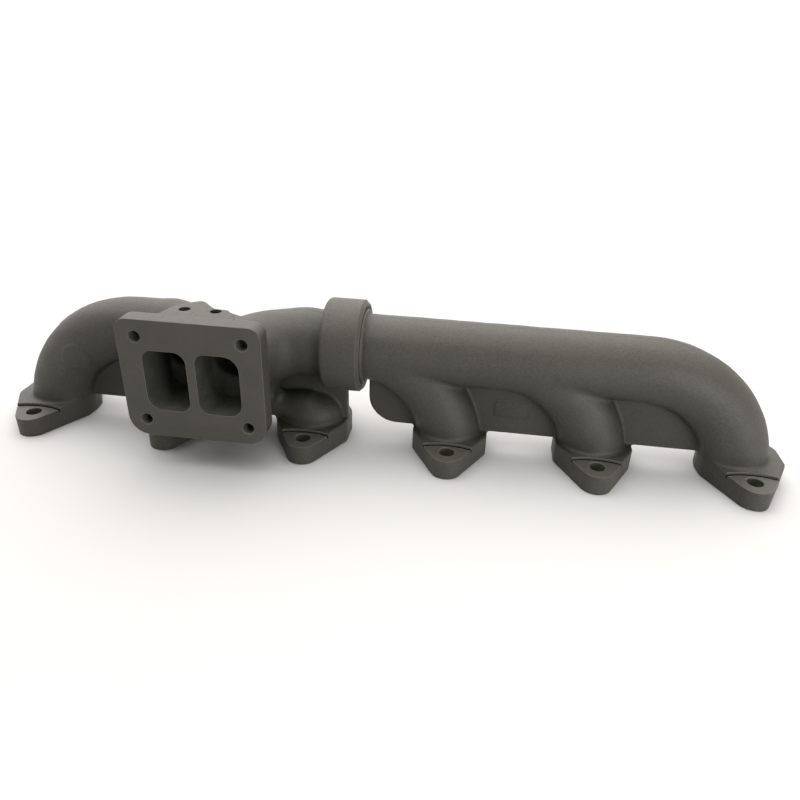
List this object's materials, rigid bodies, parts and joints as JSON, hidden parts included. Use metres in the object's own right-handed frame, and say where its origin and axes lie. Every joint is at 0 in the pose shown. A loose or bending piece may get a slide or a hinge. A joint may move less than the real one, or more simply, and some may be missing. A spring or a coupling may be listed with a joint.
{
  "type": "exhaust manifold",
  "caption": "Cast-iron exhaust manifold for an inline diesel engine, in sections that slide in a ring-sealed slip joint, with a divided turbocharger flange.",
  "frame": {"origin": "middle of the head bolt pattern of all the ports, on the gasket plane", "axes": "+X along the engine from port 1 to port 6, +Z away from the cylinder head, and the turbocharger flange faces -Y"},
  "size_m": [0.663, 0.1314, 0.1251],
  "materials": {
    "cast_iron": "fine as-cast grain, matte, with milled flange faces",
    "ring_iron": "turned, dark grey"
  },
  "bodies": {
    "front_section": {"front_casting": "cast_iron"},
    "ring_pack": {"seal_ring_1": "ring_iron", "seal_ring_2": "ring_iron", "seal_ring_3": "ring_iron"},
    "rear_section": {"rear_casting": "cast_iron"}
  },
  "joints": [
    {"name": "slip_travel", "type": "slide", "parent": "front_section", "child": "ring_pack", "axis": [1, 0, 0], "range_m": [-0.003, 0.026]},
    {"name": "slip_swivel", "type": "hinge", "parent": "ring_pack", "child": "rear_section", "pos_m": [-0.027, 0, 0.086], "axis": [1, 0, 0], "continuous": true}
  ]
}
